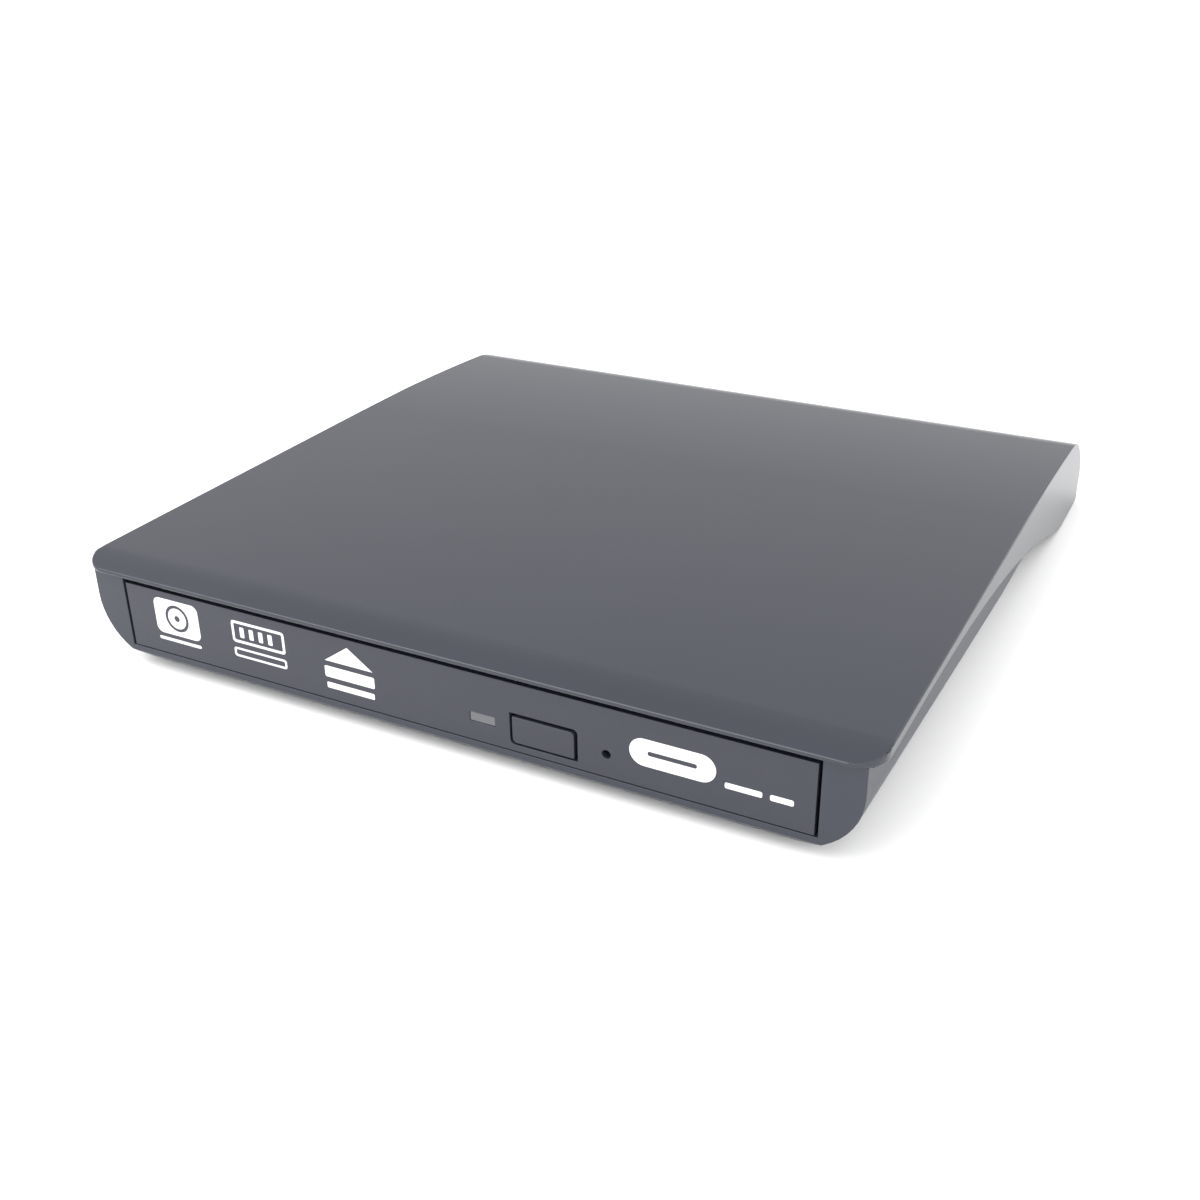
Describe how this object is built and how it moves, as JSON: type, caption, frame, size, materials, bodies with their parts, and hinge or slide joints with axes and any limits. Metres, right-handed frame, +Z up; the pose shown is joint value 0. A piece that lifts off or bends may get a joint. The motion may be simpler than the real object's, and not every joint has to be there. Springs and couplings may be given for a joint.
{
  "type": "external optical drive",
  "caption": "slim external disc drive in a near-black plastic case with a curved rear foot; the disc tray slides out, with eject button, spindle, pickup and latch that move",
  "frame": {"origin": "centre of the bounding box in plan, at the table under the feet", "axes": "X across the drive to the right seen from the front, Y from the tray bezel to the rear sockets, Z up; the tray comes out along -Y"},
  "size_m": [0.1458, 0.1508, 0.0202],
  "materials": {
    "case_plastic": "near-black ABS with a fine satin grain",
    "shell_plastic": "near-black ABS, a little coarser than the cover",
    "bezel_plastic": "near-black ABS, slightly smoother than the case",
    "foot_rubber": "soft black rubber, dull",
    "screw_steel": "zinc-plated screws",
    "board": "green solder mask over glass-epoxy board",
    "chip_plastic": "black moulding compound",
    "connector_plastic": "black connector resin",
    "plated_steel": "bright zinc-plated sheet and turned steel",
    "cream_plastic": "natural acetal, slightly waxy",
    "ribbon": "white flat flexible cable",
    "tray_plastic": "black moulded resin with a light grain",
    "window_plastic": "smoked translucent light pipe",
    "shield_steel": "thin sheet with satin black paint",
    "frame_metal": "die-cast alloy, unpolished",
    "ground_steel": "ground and polished steel",
    "soft_rubber": "soft black rubber",
    "copper": "varnished copper windings",
    "bronze": "sintered bronze",
    "actuator_plastic": "black liquid-crystal polymer",
    "lens_glass": "clear moulded glass with a blue coating"
  },
  "bodies": {
    "case": {"top_cover": "case_plastic", "bottom_shell": "shell_plastic", "front_feet": "foot_rubber", "rear_feet": "foot_rubber", "case_screws": "screw_steel", "bridge_board": "board", "bridge_chips": "chip_plastic", "bridge_sata_socket": "connector_plastic", "usb_socket": "plated_steel", "usb_tongue": "connector_plastic", "power_jack": "connector_plastic", "power_jack_pin": "plated_steel", "drive_pan": "plated_steel", "drive_lid": "plated_steel", "lid_screws": "screw_steel", "guide_left": "cream_plastic", "guide_right": "cream_plastic", "drive_bracket": "plated_steel", "bracket_screws": "screw_steel", "drive_board": "board", "drive_chips": "chip_plastic", "drive_sata_plug": "connector_plastic", "pan_ribbon": "ribbon", "latch_pin": "plated_steel"},
    "tray": {"disc_tray": "tray_plastic", "tray_beams": "tray_plastic", "tray_bezel": "bezel_plastic", "led_window": "window_plastic", "tray_board": "board", "eject_switch": "connector_plastic", "pickup_shield": "shield_steel", "traverse_frame": "frame_metal", "guide_rods": "ground_steel", "traverse_grommets": "soft_rubber", "traverse_screws": "screw_steel", "spindle_base": "plated_steel", "spindle_stator": "copper", "spindle_bush": "bronze", "sled_motor": "plated_steel", "latch_solenoid": "copper", "ejector_housing": "tray_plastic", "ejector_spring": "ground_steel", "tray_ribbon": "ribbon", "latch_pivot": "plated_steel"},
    "eject_button": {"eject_button": "bezel_plastic"},
    "rail_left": {"rail_left": "plated_steel"},
    "rail_right": {"rail_right": "plated_steel"},
    "spindle": {"spindle_shaft": "ground_steel", "rotor_bell": "plated_steel", "turntable": "tray_plastic", "rubber_ring": "soft_rubber", "chuck_claws": "cream_plastic"},
    "pickup": {"pickup_sled": "frame_metal"},
    "lens": {"lens_holder": "actuator_plastic", "objective_lens": "lens_glass"},
    "lead_screw": {"lead_screw": "ground_steel"},
    "latch_plunger": {"latch_plunger": "plated_steel"},
    "latch_lever": {"latch_lever": "cream_plastic"},
    "ejector": {"ejector_rod": "cream_plastic"}
  },
  "joints": [
    {"name": "tray_slide", "type": "slide", "parent": "case", "child": "tray", "axis": [0, -1, 0], "range_m": [0, 0.128]},
    {"name": "rail_left_slide", "type": "slide", "parent": "case", "child": "rail_left", "axis": [0, -1, 0], "range_m": [0, 0.064]},
    {"name": "rail_right_slide", "type": "slide", "parent": "case", "child": "rail_right", "axis": [0, -1, 0], "range_m": [0, 0.064]},
    {"name": "eject_button_press", "type": "slide", "parent": "tray", "child": "eject_button", "axis": [0, 1, 0], "range_m": [0, 0.0008], "stiffness_N_per_m": 900},
    {"name": "spindle_spin", "type": "hinge", "parent": "tray", "child": "spindle", "pos_m": [0, -0.00919, 0.012], "axis": [0, 0, 1], "continuous": true},
    {"name": "pickup_slide", "type": "slide", "parent": "tray", "child": "pickup", "axis": [-0.7071, -0.7071, 0], "range_m": [0, 0.0334]},
    {"name": "lens_focus", "type": "slide", "parent": "pickup", "child": "lens", "axis": [0, 0, 1], "range_m": [-0.0004, 0.0004], "stiffness_N_per_m": 400},
    {"name": "lead_screw_turn", "type": "hinge", "parent": "tray", "child": "lead_screw", "pos_m": [-0.0099, -0.04172, 0.0082], "axis": [-0.7071, -0.7071, 0], "range_deg": [-5, 4015]},
    {"name": "latch_plunger_slide", "type": "slide", "parent": "tray", "child": "latch_plunger", "axis": [-1, 0, 0], "range_m": [0, 0.0025]},
    {"name": "latch_lever_swing", "type": "hinge", "parent": "tray", "child": "latch_lever", "pos_m": [0.04, 0.03781, 0.0072], "axis": [0, 0, 1], "range_deg": [-25.1, 0]},
    {"name": "ejector_slide", "type": "slide", "parent": "tray", "child": "ejector", "axis": [0, 1, 0], "range_m": [0, 0.006]}
  ],
  "couplings": [
    {"joint": "rail_left_slide", "follows": "tray_slide", "ratio": 0.5},
    {"joint": "rail_right_slide", "follows": "tray_slide", "ratio": 0.5},
    {"joint": "ejector_slide", "follows": "tray_slide", "ratio": 0.046875},
    {"joint": "lead_screw_turn", "follows": "pickup_slide", "rad_per_m": 2094.4},
    {"joint": "latch_lever_swing", "follows": "latch_plunger_slide", "rad_per_m": -174.53}
  ]
}
